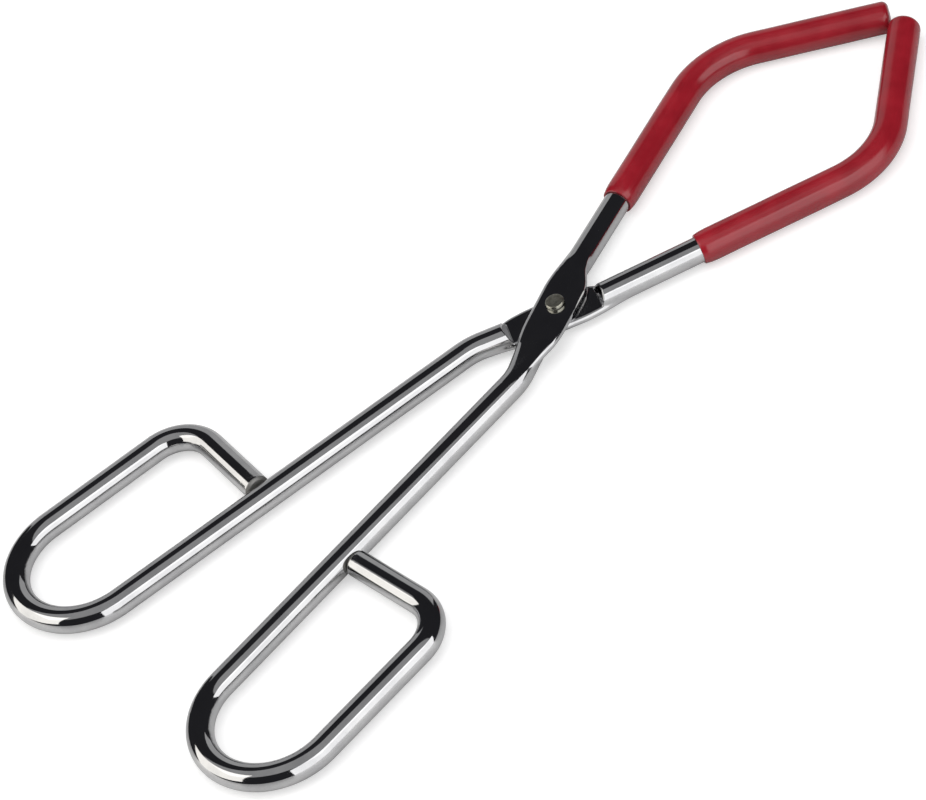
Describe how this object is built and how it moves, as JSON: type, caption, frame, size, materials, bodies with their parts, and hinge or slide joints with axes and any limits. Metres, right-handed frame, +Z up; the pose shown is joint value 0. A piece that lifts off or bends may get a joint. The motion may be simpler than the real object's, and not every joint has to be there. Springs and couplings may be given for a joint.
{
  "type": "jar lifter",
  "caption": "Scissor tongs bent from chromed round rod, with red vinyl-dipped jaws that close to a diamond and a closed finger loop on each handle.",
  "frame": {"origin": "middle of the closed tongs' footprint, on the surface that they lie on", "axes": "+X from the finger loops to the jaws, +Y across the tongs on the side of the upper arm's jaw, +Z up, along the pivot"},
  "size_m": [0.254, 0.1116, 0.008],
  "materials": {
    "chromed_rod": "bright chrome plate with fine rubbing marks",
    "rivet_steel": "nickel-plated steel, dulled and a little yellow",
    "red_vinyl": "semi-gloss dipped vinyl, red"
  },
  "bodies": {
    "lower_body": {"lower_arm": "chromed_rod", "lower_jaw_sleeve": "red_vinyl", "pivot_rivet": "rivet_steel"},
    "upper_body": {"upper_arm": "chromed_rod", "upper_jaw_sleeve": "red_vinyl"}
  },
  "joints": [
    {"name": "pivot", "type": "hinge", "parent": "lower_body", "child": "upper_body", "pos_m": [0.01141, 0, 0.004], "axis": [0, 0, 1], "range_deg": [0, 80]}
  ]
}
